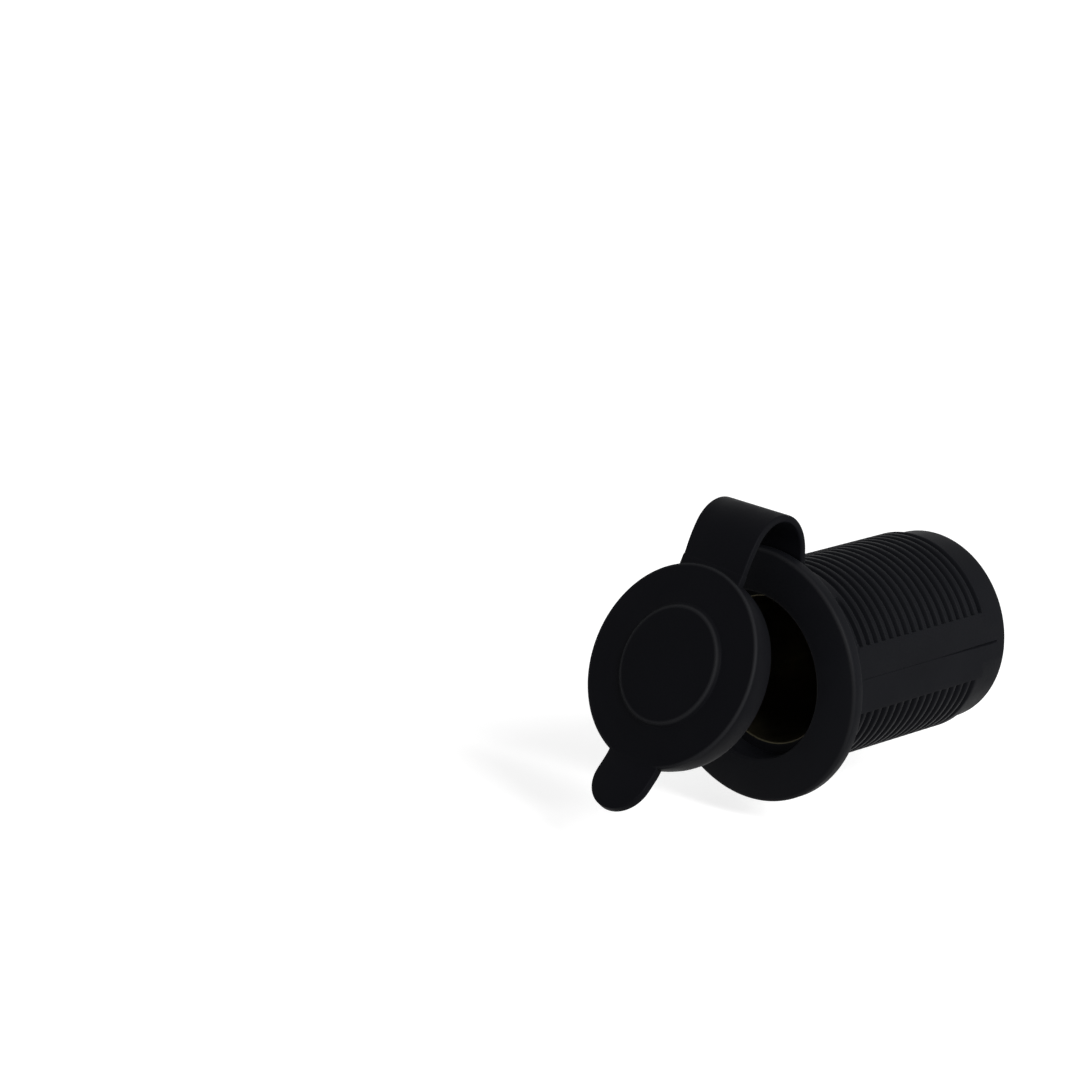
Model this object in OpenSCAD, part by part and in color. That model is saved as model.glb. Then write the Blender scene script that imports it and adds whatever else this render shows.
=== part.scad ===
// Panel-mounted 12 volt power socket, with its push-in lid hanging half open on a soft strap.
// The origin is on the socket's axis, at the panel's front surface.
// +Y points through the panel to the terminals, +Z is up and -Y faces the person who plugs in.

/* [Flange] */
// Width of the flange past the neck
flange_lip = 3.65; // [3.2:0.05:6]
// Thickness of the flange at its rim
flange_t = 1.95; // [1.4:0.05:3]
// Height of the front face at the mouth above the flange's rim
face_rise = 0.75; // [0.2:0.05:1.6]
// Diameter of the mouth
mouth_d = 24.2; // [24:0.1:26]
// Radius of the mouth's rounded lip
lip_round = 0.5; // [0.2:0.1:0.8]
// Radius of the flange's front edge
rim_round = 0.5; // [0.2:0.1:0.8]

/* [Barrel] */
// Diameter of the plain neck that passes through the panel
neck_d = 29.7; // [28.6:0.1:30.4]
// Length of the plain neck behind the panel's front surface
neck_len = 2.5; // [1.5:0.1:4]
// Thickness of the wall between the shell's bottom and the rear recess
rear_wall_t = 2.2; // [1.6:0.1:4]
// Depth of the recess in the rear end
recess_depth = 2.3; // [1.6:0.1:5]
// Length of the plain tail behind the thread
tail_len = 5.4; // [4:0.1:8]
// Radius of the barrel's rear edge
tail_round = 1.1; // [0.3:0.1:1.4]
// Width of the two plain bars that run along the sides of the barrel
bar_w = 9.5; // [6:0.5:12]
// Depth of the tail's surface below the thread's crests
tail_step = 0.55; // [0.3:0.05:0.8]
// Thickness of the barrel's wall round the rear recess
tail_wall = 2.2; // [1.7:0.1:2.6]

/* [Thread] */
// Distance between neighbouring turns
thread_pitch = 1.69; // [1.5:0.01:2]
// Depth of a groove
thread_depth = 0.7; // [0.5:0.05:0.8]
// Width of a groove at the crest
groove_w = 0.8; // [0.6:0.05:1]
// Width of a groove at its root
groove_root_w = 0.35; // [0.2:0.05:0.5]
// Depth of the first groove behind the panel's front surface, on the top line
thread_start = 2.93; // [2.9:0.01:5]
// Angle above the side at which the first groove begins
thread_start_angle = 52; // [30:1:80]

/* [Contact shell] */
// Inner diameter of the brass shell
bore_d = 21.2; // [20.9:0.05:21.4]
// Wall of the brass shell
shell_wall = 0.5; // [0.3:0.05:0.6]
// Depth of the shell's front edge below the flange's rim
shell_inset = 3.45; // [2.8:0.05:3.6]
// Straight depth of the bore inside the shell
bore_len = 29.4; // [28:0.1:29.6]
// Inner radius of the drawn corner at the shell's bottom
shell_corner = 2.5; // [1.5:0.1:2.6]

/* [Contacts] */
// Diameter of the centre contact's head
contact_d = 5.8; // [4.6:0.2:6]
// Height of the centre contact's head
contact_h = 1.1; // [0.8:0.1:1.3]
// Diameter of the rivet shanks
shank_d = 3; // [2:0.1:3.2]
// Diameter of the ground rivet's head
rivet_d = 3.8; // [3.4:0.1:4]
// Height of the ground rivet's head and of the closed ends of both rivets
rivet_h = 0.7; // [0.5:0.1:0.8]
// Distance of the ground rivet below the axis
ground_drop = 6; // [5.9:0.1:6.2]
// Diameter of the insulating bush under the centre contact
bush_d = 7.4; // [6.8:0.1:7.6]
// Thickness of the bush above the shell's floor
bush_t = 1.1; // [0.8:0.1:1.3]
// Width of the push-on blades
blade_w = 6.3; // [4.8:0.1:6.3]
// Thickness of the blades
blade_t = 0.8; // [0.6:0.1:1]
// Length of a blade behind its foot
blade_len = 8; // [6:0.5:9]
// Length of a blade's foot on the side towards the other foot
foot_front = 2; // [1.9:0.05:2.1]
// Length of a blade's foot on the side of the blade
foot_back = 3.6; // [3:0.1:4]

/* [Retaining ring and strap] */
// Thickness of the ring between the flange and the panel
ring_t = 2; // [1.6:0.1:3]
// Width of the ring past the neck
ring_lip = 1.55; // [1.2:0.05:2.6]
// Depth of the seat that the ring snaps into
seat_depth = 0.4; // [0.2:0.05:0.5]
// Width of the strap
strap_w = 11.6; // [8:0.2:14]
// Thickness of the strap
strap_t = 1.1; // [0.8:0.1:1.5]
// Radius of the strap's bend over the flange, at its middle line
strap_bend = 6.35; // [6:0.05:6.6]
// Drop of that bend's centre below the flange's edge
strap_drop = 0.3; // [0.2:0.05:0.6]
// Angle by which the strap leans to one side halfway along, as it twists to the turned lid
strap_twist = 1.8; // [0:0.1:4]
// Angle by which the ring and the strap's foot stand turned about the barrel
ring_turn = 1.6; // [0:0.1:4]

/* [Lid] */
// Diameter of the lid
lid_d = 29.5; // [28:0.1:31]
// Diameter of the lid's back edge
lid_back_d = 27.8; // [26:0.1:28]
// Thickness of the lid's rim
lid_t = 4.85; // [4.4:0.05:6]
// Radius of the lid's front edge
lid_round = 0.4; // [0.2:0.1:0.8]
// Diameter of the raised disc on the lid's front
boss_d = 16.7; // [12:0.1:20]
// Height of the raised disc
boss_h = 0.6; // [0.3:0.1:1]
// Width of the sloped edge round the raised disc
boss_slope = 0.45; // [0.2:0.05:0.8]
// Length of the lip that pushes into the mouth
plug_len = 2.4; // [1.5:0.1:2.8]
// Wall of the push-in lip
plug_wall = 1.4; // [1:0.1:2]
// Thickness of the lid's web inside the push-in lip
web_t = 3.2; // [2:0.1:4]
// Distance of the pull tab's tip from the lid's centre, before it is lifted
tab_reach = 21.8; // [19:0.1:24]
// Width of the pull tab, which ends in a half circle
tab_w = 9.5; // [8:0.1:11]
// Thickness of the pull tab
tab_t = 1.3; // [1:0.1:2.6]
// Angle by which the hanging lid is turned about its own axis, its tab to one side
lid_roll = 7.5; // [0:0.5:12]
// Angle by which the pull tab is lifted in front of the lid's face, for a finger to get behind it
tab_lift = 17; // [0:0.5:20]

/* [Hinge] */
// Angle between the hanging lid and its closed place
rest_tilt = 24.6; // [10:0.1:40]
// Height of the line that the lid swings about above the axis
hinge_z = 29.3; // [28:0.1:32]
// Distance of that line in front of the panel
hinge_out = 5.1; // [4:0.1:6]

/* [Fit] */
// Gap between the closed lid and the mouth's edge
lid_gap = 0.3; // [0.2:0.05:0.6]
// Radial gap between the push-in lip and the mouth
plug_gap = 0.4; // [0.3:0.05:0.6]
// Radial gap round the brass shell and the rivets
fit_gap = 0.05; // [0.03:0.01:0.1]
// Radial gap of the ring in its seat
ring_gap = 0.05; // [0.03:0.01:0.2]

/* [Hidden] */
$fn = 96;

black = [0.09, 0.09, 0.1];
brass = [0.72, 0.6, 0.28];
tin = [0.75, 0.75, 0.76];
laminate = [0.45, 0.28, 0.16];

// Extra length of a cutter past the surface that it opens
over = 1;

// Planes across the axis, from front to back
rim_y = -(flange_t + ring_t);
face_y = rim_y - face_rise;
flange_back_y = -ring_t;
shell_y = rim_y + shell_inset;
shoulder_y = shell_y + shell_wall;
bore_end_y = shell_y + bore_len;
shell_floor_y = bore_end_y + shell_corner;
wall_y = shell_floor_y + shell_wall;
recess_y = wall_y + rear_wall_t;
barrel_len = recess_y + recess_depth;
thread_end_y = barrel_len - tail_len;

// Radii of the housing
neck_r = neck_d / 2;
flange_r = neck_r + flange_lip;
ring_r = neck_r + ring_lip;
mouth_r = mouth_d / 2;
crest_step = 0.2;
crest_r = neck_r - crest_step;
root_r = crest_r - thread_depth;
seat_r = neck_r - seat_depth;
tail_r = crest_r - tail_step;
recess_r = tail_r - tail_wall;
bar_x = sqrt(crest_r * crest_r - bar_w * bar_w / 4);
// The grooves end a little past the flat faces of the bars
bar_edge = 0.12;
bar_side = bar_w / 2 + bar_edge;
edge_break = 0.2;

// Grooves that fit between the neck and the tail, and the slope of the helix across a half turn
groove_count = floor((thread_end_y - groove_w - thread_start) / thread_pitch);
bar_angle = asin(bar_w / 2 / crest_r);
half_rise = thread_pitch * (90 - bar_angle) / 360;
groove_tilt = atan(half_rise / (crest_r * cos(bar_angle)));

// Shell
bore_r = bore_d / 2;
shell_r = bore_r + shell_wall;
shell_lip_r = mouth_r - fit_gap;

// Contacts
bush_y = shell_floor_y - bush_t;
bush_hole_r = shank_d / 2 + fit_gap;
spigot_r = bush_d / 2 - 0.8;
contact_dome = 0.5;

// Lid, closed
lid_y = face_y - lid_gap - lid_t;
lid_r = lid_d / 2;
lid_back_r = lid_back_d / 2;
plug_r = mouth_r - plug_gap;
plug_hollow_r = plug_r - plug_wall;
plug_lead = 0.5;
hinge_y = -hinge_out;

// The lid's frame at rest: where its front centre lies, and its rearward and upward directions
lid_c = [
    hinge_y + (lid_y - hinge_y) * cos(rest_tilt) - hinge_z * sin(rest_tilt),
    hinge_z - (lid_y - hinge_y) * sin(rest_tilt) - hinge_z * cos(rest_tilt)
];
lid_in = [cos(rest_tilt), -sin(rest_tilt)];
lid_up = [sin(rest_tilt), cos(rest_tilt)];

// Strap: a short leg up from the ring, a bend over the flange, and a wider bend to a root on the lid's rim
strap_foot_z = ring_r + 0.6;
bend_at = [-strap_t / 2 - strap_bend, flange_r - strap_drop];
root_depth = 1;
root_out = 0.9;
root_at = lid_c + lid_in * root_depth + lid_up * (lid_r + root_out + fit_gap);
root_gap = root_at - bend_at;
// The wider bend leaves the first one smoothly and ends square to the root
wide_bend = (root_gap * root_gap - strap_bend * strap_bend) / 2 / (-root_gap * lid_in - strap_bend);
wide_at = root_at + wide_bend * lid_in;
join_angle = atan2(bend_at[1] - wide_at[1], bend_at[0] - wide_at[0]);
end_angle = 180 - rest_tilt;

// Revolves a profile of [radius, depth] points about the socket's axis
module along_y() {
    rotate([-90, 0, 0]) rotate_extrude() children();
}

// Points of a quarter arc about a centre
function arc_points(centre, radius, from, to, steps = 6) = [
    for (i = [0 : steps])
        let (a = from + (to - from) * i / steps)
        centre + radius * [cos(a), sin(a)]
];

// Places what is drawn in the lid's own frame, with its front face at y = 0 and facing -Y
module lid_place() {
    translate([0, lid_c[0], lid_c[1]]) rotate([-rest_tilt, 0, 0]) rotate([0, lid_roll, 0]) children();
}

// Solid of revolution of the flange, the neck, the thread's core and the tail
module housing_blank() {
    along_y() polygon(concat(
        [[0, face_y], [mouth_r, face_y]],
        [[mouth_r + lip_round, face_y]],
        arc_points([flange_r - rim_round, rim_y + rim_round], rim_round, -90, 0),
        [
            [flange_r, flange_back_y - edge_break],
            [flange_r - edge_break, flange_back_y],
            [seat_r, flange_back_y],
            [seat_r, 0],
            [neck_r, 0],
            [neck_r, neck_len],
            [crest_r, neck_len],
            [crest_r, thread_end_y - edge_break],
            [tail_r, thread_end_y]
        ],
        arc_points([tail_r - tail_round, barrel_len - tail_round], tail_round, 0, 90),
        [[0, barrel_len]]
    ));
}

// One ring-shaped groove cutter, tilted to the helix
module groove(y, tilt) {
    flank = (groove_w - groove_root_w) / 2 / thread_depth;
    reach = 0.4;
    half_w = groove_w / 2 + flank * reach;
    translate([0, y, 0]) rotate([0, 0, tilt]) along_y() polygon([
        [root_r, -groove_root_w / 2],
        [crest_r + reach, -half_w],
        [crest_r + reach, half_w],
        [root_r, groove_root_w / 2]
    ]);
}

// Half of the space round the barrel, above or below the plain bars
module half_space(side) {
    span = 2 * (crest_r + over);
    translate([-span / 2, -over, side > 0 ? bar_side : -bar_side - span])
        cube([span, barrel_len + 2 * over, span]);
}

// All grooves of the thread
module thread_grooves() {
    intersection() {
        union() for (k = [1 : groove_count]) groove(thread_start + k * thread_pitch, groove_tilt);
        half_space(1);
    }
    intersection() {
        union() for (k = [0 : groove_count - 1])
            groove(thread_start + (k + 0.5) * thread_pitch, -groove_tilt);
        half_space(-1);
    }
    // The first groove starts part of the way up the right side
    intersection() {
        groove(thread_start, groove_tilt);
        half_space(1);
        rotate([0, 90 - thread_start_angle, 0])
            translate([0, -over, -2 * neck_r]) cube([2 * neck_r, thread_start + 2 * over, 4 * neck_r]);
    }
}

// Inside of the housing: mouth, shell bore and rear recess
module housing_bore() {
    along_y() polygon(concat(
        [[0, face_y - over], [mouth_r + lip_round, face_y - over], [mouth_r + lip_round, face_y]],
        arc_points([mouth_r + lip_round, face_y + lip_round], lip_round, 270, 180),
        [
            [mouth_r, shoulder_y],
            [shell_r + fit_gap, shoulder_y],
            [shell_r + fit_gap, bore_end_y]
        ],
        arc_points([bore_r - shell_corner, bore_end_y], shell_corner + shell_wall + fit_gap, 0, 70),
        [
            [bore_r - shell_corner, wall_y],
            [0, wall_y]
        ]
    ));
    along_y() polygon([
        [0, recess_y], [recess_r, recess_y], [recess_r, barrel_len + over], [0, barrel_len + over]
    ]);
}

// Hole for a rivet shank through the rear wall
module shank_hole(z, r) {
    translate([0, wall_y - over, z]) rotate([-90, 0, 0]) cylinder(h = rear_wall_t + 2 * over, r = r);
}

module housing() {
    color(black) difference() {
        housing_blank();
        for (side = [0, 1]) mirror([side, 0, 0])
            translate([bar_x, 0, -neck_r]) cube([neck_r, barrel_len + over, 2 * neck_r]);
        thread_grooves();
        housing_bore();
        shank_hole(0, spigot_r + fit_gap);
        shank_hole(-ground_drop, bush_hole_r);
    }
}

// Drawn brass cup with a rolled lip on the housing's shoulder
module contact_shell() {
    color(brass) difference() {
        along_y() polygon(concat(
            [[bore_r, shell_y], [shell_lip_r, shell_y], [shell_lip_r, shoulder_y], [shell_r, shoulder_y]],
            arc_points([bore_r - shell_corner, bore_end_y], shell_corner + shell_wall, 0, 90),
            [[0, wall_y], [0, shell_floor_y]],
            arc_points([bore_r - shell_corner, bore_end_y], shell_corner, 90, 0)
        ));
        translate([0, shell_floor_y - over, 0]) rotate([-90, 0, 0])
            cylinder(h = shell_wall + 2 * over, r = spigot_r + fit_gap);
        translate([0, shell_floor_y - over, -ground_drop]) rotate([-90, 0, 0])
            cylinder(h = shell_wall + 2 * over, r = bush_hole_r);
    }
}

// Insulating bush: a washer on the shell's floor with a spigot through the rear wall
module contact_bush() {
    color(laminate) along_y() polygon([
        [bush_hole_r, bush_y],
        [bush_d / 2, bush_y],
        [bush_d / 2, shell_floor_y],
        [spigot_r, shell_floor_y],
        [spigot_r, recess_y],
        [bush_hole_r, recess_y]
    ]);
}

// Rivet from a head inside the shell to a closed end on a blade's foot
module rivet(head_y, head_r, head_h, dome) {
    foot_y = recess_y + blade_t;
    along_y() polygon([
        [0, head_y - head_h],
        [head_r - dome, head_y - head_h],
        [head_r, head_y - head_h + dome],
        [head_r, head_y],
        [shank_d / 2, head_y],
        [shank_d / 2, foot_y],
        [shank_d / 2 + 0.4, foot_y],
        [shank_d / 2 + 0.2, foot_y + rivet_h],
        [0, foot_y + rivet_h]
    ]);
}

module centre_contact() {
    color(brass) rivet(bush_y, contact_d / 2, contact_h, contact_dome);
}

module ground_rivet() {
    color(tin) translate([0, 0, -ground_drop]) rivet(shell_floor_y, rivet_d / 2, rivet_h, 0.3);
}

// Folded blade: a foot on the recess floor, and a push-on tab with a pointed end and its catch hole
module blade() {
    nose = 1.6;
    nose_in = 1.2;
    catch_d = 1.8;
    catch_back = 3.6;
    difference() {
        translate([-blade_w / 2, recess_y, -foot_front]) cube([blade_w, blade_t, foot_front + foot_back]);
        translate([0, recess_y - over, 0]) rotate([-90, 0, 0]) cylinder(h = blade_t + 2 * over, r = bush_hole_r);
    }
    translate([0, recess_y, foot_back - blade_t]) difference() {
        linear_extrude(blade_t) polygon([
            [-blade_w / 2, 0],
            [blade_w / 2, 0],
            [blade_w / 2, blade_t + blade_len - nose],
            [blade_w / 2 - nose_in, blade_t + blade_len],
            [nose_in - blade_w / 2, blade_t + blade_len],
            [-blade_w / 2, blade_t + blade_len - nose]
        ]);
        translate([0, blade_t + blade_len - catch_back, -over]) cylinder(h = blade_t + 2 * over, d = catch_d);
    }
}

module positive_blade() {
    color(tin) blade();
}

module negative_blade() {
    color(tin) translate([0, 0, -ground_drop]) mirror([0, 0, 1]) blade();
}

// Ring that the flange clamps against the panel, with a foot for the strap.
// Its hole opens out at the rear, to clear the neck.
module retaining_ring() {
    hole_r = seat_r + ring_gap;
    rear_hole_r = neck_r + ring_gap;
    color(black) difference() {
        union() {
            translate([0, -ring_t, 0]) rotate([-90, 0, 0]) cylinder(h = ring_t, r = ring_r);
            rotate([0, ring_turn, 0]) translate([-strap_w / 2, -ring_t, 0]) cube([strap_w, ring_t, strap_foot_z]);
        }
        along_y() polygon([
            [0, -ring_t - over],
            [hole_r, -ring_t - over],
            [hole_r, hole_r - rear_hole_r],
            [rear_hole_r, 0],
            [rear_hole_r, over],
            [0, over]
        ]);
    }
}

// Turns a direction or a place about the lid's own axis
function rolled(p, turn) =
    let (
        back = p[1] * lid_in[0] + p[2] * lid_in[1],
        up = p[1] * lid_up[0] + p[2] * lid_up[1],
        side = p[0] * cos(turn) + up * sin(turn),
        rise = up * cos(turn) - p[0] * sin(turn)
    )
    [side, back * lid_in[0] + rise * lid_up[0], back * lid_in[1] + rise * lid_up[1]];

// Turns a direction or a place about the socket's axis
function ringed(p, turn) = [p[0] * cos(turn) + p[2] * sin(turn), p[1], p[2] * cos(turn) - p[0] * sin(turn)];

// One section of the strap: a middle point, a width direction and an outward direction.
// Its share is 0 at the ring, whose turn it has there, and 1 at the lid, whose roll it has there.
roll_delay = 1.25;
function strap_section(centre, radius, a, share) =
    let (
        out = [0, cos(a), sin(a)],
        lean = strap_twist * sin(180 * share),
        late = pow(share, roll_delay),
        back = ring_turn * (1 - late),
        width_way = ringed([cos(lean), 0, 0] - sin(lean) * out, back),
        out_way = ringed([sin(lean), 0, 0] + cos(lean) * out, back),
        middle = ringed([0, centre[0], centre[1]] + radius * out, back),
        lid_origin = [0, lid_c[0], lid_c[1]],
        turn = lid_roll * late
    )
    [lid_origin + rolled(middle - lid_origin, turn), rolled(width_way, turn), rolled(out_way, turn)];

// Sections of the strap along its length
strap_steps = 14;
wide_steps = 5;
first_share = join_angle * strap_bend / (join_angle * strap_bend + (end_angle - join_angle) * wide_bend);
strap_sections = concat(
    [strap_section([bend_at[0], strap_foot_z], strap_bend, 0, 0)],
    [for (i = [0 : strap_steps])
        strap_section(bend_at, strap_bend, join_angle * i / strap_steps, first_share * i / strap_steps)],
    [for (i = [1 : wide_steps])
        strap_section(wide_at, wide_bend, join_angle + (end_angle - join_angle) * i / wide_steps,
            first_share + (1 - first_share) * i / wide_steps)]
);

// Corners of one section, round its edge
function section_corners(s) = [
    for (c = [[-1, -1], [1, -1], [1, 1], [-1, 1]])
        s[0] + c[0] * strap_w / 2 * s[1] + c[1] * strap_t / 2 * s[2]
];

// Soft strap, from the ring's foot over both bends, twisting to the turned lid
module lid_strap() {
    last = len(strap_sections) - 1;
    color(black) polyhedron(
        points = [for (s = strap_sections) each section_corners(s)],
        faces = concat(
            [[0, 1, 2, 3]],
            [for (i = [0 : last - 1], k = [0 : 3])
                let (a = 4 * i + k, b = 4 * i + (k + 1) % 4)
                each [[a, a + 4, b], [b, a + 4, b + 4]]],
            [[4 * last + 3, 4 * last + 2, 4 * last + 1, 4 * last]]
        )
    );
}

// Pull tab with its round end, lifted about a line across the lid's edge
module pull_tab() {
    end_r = tab_w / 2;
    root_z = lid_r - lid_round;
    bite = 1.8;
    translate([0, tab_t / 2, -root_z]) rotate([90 - tab_lift, 0, 0])
        translate([0, root_z, -tab_t / 2]) linear_extrude(tab_t) {
            translate([0, end_r - tab_reach]) circle(r = end_r);
            translate([-end_r, end_r - tab_reach]) square([tab_w, tab_reach - end_r - root_z + bite]);
        }
}

// Root of the strap on the lid's rim, just short of the strap's end
module strap_root() {
    translate([-strap_w / 2, root_depth - strap_t / 2, plug_hollow_r])
        cube([strap_w, strap_t, lid_r + root_out - plug_hollow_r]);
}

module lid() {
    color(black) {
        lid_place() along_y() polygon(concat(
            [[0, -boss_h], [boss_d / 2, -boss_h], [boss_d / 2 + boss_slope, 0]],
            arc_points([lid_r - lid_round, lid_round], lid_round, -90, 0),
            [
                [lid_back_r, lid_t],
                [plug_r, lid_t],
                [plug_r, lid_t + plug_len - plug_lead],
                [plug_r - plug_lead, lid_t + plug_len],
                [plug_hollow_r, lid_t + plug_len],
                [plug_hollow_r, web_t],
                [0, web_t]
            ]
        ));
        lid_place() pull_tab();
        lid_place() strap_root();
    }
}

housing();
contact_shell();
contact_bush();
centre_contact();
positive_blade();
negative_blade();
ground_rivet();
retaining_ring();
lid_strap();
lid();
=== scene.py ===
"""Dressed model of a panel-mounted 12 volt power socket with its push-in lid on a soft strap.

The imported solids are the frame. Each moulded or turned piece is modelled here in their place,
in metres, on the same axes: +Y runs from the face to the terminals, +Z is up.
"""
import math

import bmesh
import bpy
from mathutils import Matrix, Vector


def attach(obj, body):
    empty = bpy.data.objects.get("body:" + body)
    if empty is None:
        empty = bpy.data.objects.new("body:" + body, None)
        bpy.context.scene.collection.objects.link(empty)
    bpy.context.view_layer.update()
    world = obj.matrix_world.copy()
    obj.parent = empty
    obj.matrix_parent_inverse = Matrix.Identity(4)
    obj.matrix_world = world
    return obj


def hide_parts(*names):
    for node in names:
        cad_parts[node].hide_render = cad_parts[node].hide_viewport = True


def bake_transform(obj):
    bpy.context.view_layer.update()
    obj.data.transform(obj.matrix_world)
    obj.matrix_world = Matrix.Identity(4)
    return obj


bl_info = {
    "name": "12 Volt Power Socket",
    "version": (1, 0, 0),
    "blender": (4, 5, 0),
    "location": "View3D > Sidebar > Power Socket",
    "description": "Models the socket's housing, contacts, strap and lid round the packed frame",
    "category": "Object",
}

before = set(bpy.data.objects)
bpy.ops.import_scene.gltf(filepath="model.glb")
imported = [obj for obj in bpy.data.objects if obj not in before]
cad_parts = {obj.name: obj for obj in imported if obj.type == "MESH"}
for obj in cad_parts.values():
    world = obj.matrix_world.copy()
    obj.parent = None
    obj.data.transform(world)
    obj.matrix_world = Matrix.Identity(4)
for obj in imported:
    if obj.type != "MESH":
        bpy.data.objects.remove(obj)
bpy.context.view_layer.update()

MM = 0.001
# Edges sharper than this are shaded sharp. The strap's may bend further.
SMOOTH_ANGLE = math.radians(32)
STRAP_SMOOTH_ANGLE = math.radians(40)
# Points closer than this are one
DOUBLES = 0.002 * MM

# Lengths in millimetres along the axis, from the front face to the rear
FACE_Y = -4.7
RIM_Y = -3.95
FLANGE_BACK_Y = -2.0
SHELL_Y = -0.5
SEAT_Y = -0.55
SHOULDER_Y = 0.0
NECK_END_Y = 2.5
BORE_END_Y = 28.9
BUSH_Y = 30.3
SHELL_FLOOR_Y = 31.4
WALL_Y = 31.9
RECESS_Y = 34.1
TAIL_Y = 31.0
REAR_Y = 36.4

# Radii in millimetres
FLANGE_R = 18.5
NECK_R = 14.85
CREST_R = 14.65
TAIL_R = 14.1
SEAT_R = 14.45
MOUTH_R = 12.1
RECESS_R = 11.9
BORE_R = 10.6
SHELL_R = 11.1
CUP_HOLE_R = 2.95
CUP_CORNER_R = 3.0
CUP_CORNER = (8.1, BORE_END_Y)
# Half the distance between the two flat bars
BAR_X = 13.859
# Nothing of the barrel's outside lies within this radius
BORE_WALL_R = 12.6

# The thread: its pitch, the middle of its first groove on the top line, and its rear end
PITCH = 1.69
THREAD_START = 2.93
GROOVES = 17
THREAD_REAR = 30.85
# Half of a groove's section, as (distance from its middle, depth of cut), from outside in
GROOVE_HALF = (
    (0.62, 0.0),
    (0.54, 0.03),
    (0.46, 0.10),
    (0.39, 0.20),
    (0.25, 0.58),
    (0.18, 0.67),
    (0.08, 0.70),
)
# How far down from the bar's middle plane the grooves end
GROOVE_END = 4.9
# The helix is followed as far as this angle from +X, and rejoins itself at -X
HELIX_END = 161

# The barrel's mesh has columns every 2.5 degrees. These, counted from each bar's middle, are
# moved to the mould line, the bar's edge, just past it, and the ends of the grooves.
COLUMNS = 144
LINE_COLUMN = 2.5
EDGE_COLUMN = 17.5
PAST_COLUMN = 20
END_COLUMN = 22.5

# The lid's frame at rest
LID_AT = (0.0, -21.617, 4.637)
LID_TILT = math.radians(24.6)
LID_ROLL = math.radians(7.5)
LID_PLACE = (
    Matrix.Translation(Vector(LID_AT) * MM)
    @ Matrix.Rotation(-LID_TILT, 4, "X")
    @ Matrix.Rotation(LID_ROLL, 4, "Y")
)


# ---- small helpers that stand for the moves of a hand in edit mode


def leave_edit():
    """Goes back to object mode with nothing selected."""
    if bpy.context.mode != "OBJECT":
        bpy.ops.object.mode_set(mode="OBJECT")
    bpy.ops.object.select_all(action="DESELECT")


def take(obj):
    """Makes one object the selected and active one."""
    leave_edit()
    obj.select_set(True)
    bpy.context.view_layer.objects.active = obj


def pick(obj, kind, wanted):
    """Selects only the wanted faces or edges of the mesh being edited, by their place."""
    bpy.ops.mesh.select_mode(type="EDGE" if kind == "edges" else "FACE")
    bpy.ops.mesh.select_all(action="DESELECT")
    mesh = bmesh.from_edit_mesh(obj.data)
    for part in getattr(mesh, kind):
        if wanted(part):
            part.select_set(True)
    bmesh.update_edit_mesh(obj.data)


def start_outline(name, point):
    """A plane collapsed to one vertex, which is then moved to the outline's first point."""
    leave_edit()
    bpy.ops.mesh.primitive_plane_add(size=MM, location=(0, 0, 0))
    obj = bpy.context.active_object
    obj.name = name
    obj.data.name = name
    bpy.ops.object.mode_set(mode="EDIT")
    bpy.ops.mesh.select_mode(type="VERT")
    bpy.ops.mesh.select_all(action="SELECT")
    bpy.ops.mesh.merge(type="CENTER")
    bpy.ops.transform.translate(value=Vector(point) * MM)
    return obj


def draw_outline(name, points):
    """Extrudes a vertex from point to point. The points are in millimetres."""
    obj = start_outline(name, points[0])
    for last, here in zip(points, points[1:]):
        step = (Vector(here) - Vector(last)) * MM
        bpy.ops.mesh.extrude_vertices_move(TRANSFORM_OT_translate={"value": step})
    return obj


def close_surface():
    """Merges doubles and turns all faces outwards, of the mesh being edited."""
    bpy.ops.mesh.select_all(action="SELECT")
    bpy.ops.mesh.remove_doubles(threshold=DOUBLES)
    bpy.ops.mesh.normals_make_consistent(inside=False)


def close_solid(obj):
    """Merges doubles and turns all faces outwards, of an object in object mode."""
    take(obj)
    bpy.ops.object.mode_set(mode="EDIT")
    close_surface()
    bpy.ops.object.mode_set(mode="OBJECT")


def turn_on_axis(name, outline, steps):
    """Spins an outline of (radius, depth) points about the socket's axis."""
    obj = draw_outline(name, [(r, y, 0) for r, y in outline])
    bpy.ops.mesh.select_all(action="SELECT")
    bpy.ops.mesh.spin(steps=steps, angle=2 * math.pi, center=(0, 0, 0), axis=(0, 1, 0))
    close_surface()
    bpy.ops.object.mode_set(mode="OBJECT")
    return obj


def plate(name, points, across):
    """Fills a closed outline with a face and extrudes it by a vector, in millimetres."""
    obj = draw_outline(name, points)
    bpy.ops.mesh.select_all(action="SELECT")
    bpy.ops.mesh.edge_face_add()
    bpy.ops.mesh.extrude_region_move(TRANSFORM_OT_translate={"value": Vector(across) * MM})
    close_surface()
    bpy.ops.object.mode_set(mode="OBJECT")
    return obj


def arc(centre, radius, start, end, steps):
    """Points of an arc, angles in degrees from the first axis towards the second."""
    turn = [math.radians(start + (end - start) * i / steps) for i in range(steps + 1)]
    return [(centre[0] + radius * math.cos(a), centre[1] + radius * math.sin(a)) for a in turn]


def soften(obj, width, segments, limit=30):
    """Rounds every edge sharper than the limit with an applied bevel."""
    take(obj)
    bevel = obj.modifiers.new("Soft edges", "BEVEL")
    bevel.width = width * MM
    bevel.segments = segments
    bevel.limit_method = "ANGLE"
    bevel.angle_limit = math.radians(limit)
    bevel.harden_normals = False
    bpy.ops.object.modifier_apply(modifier=bevel.name)


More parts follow.
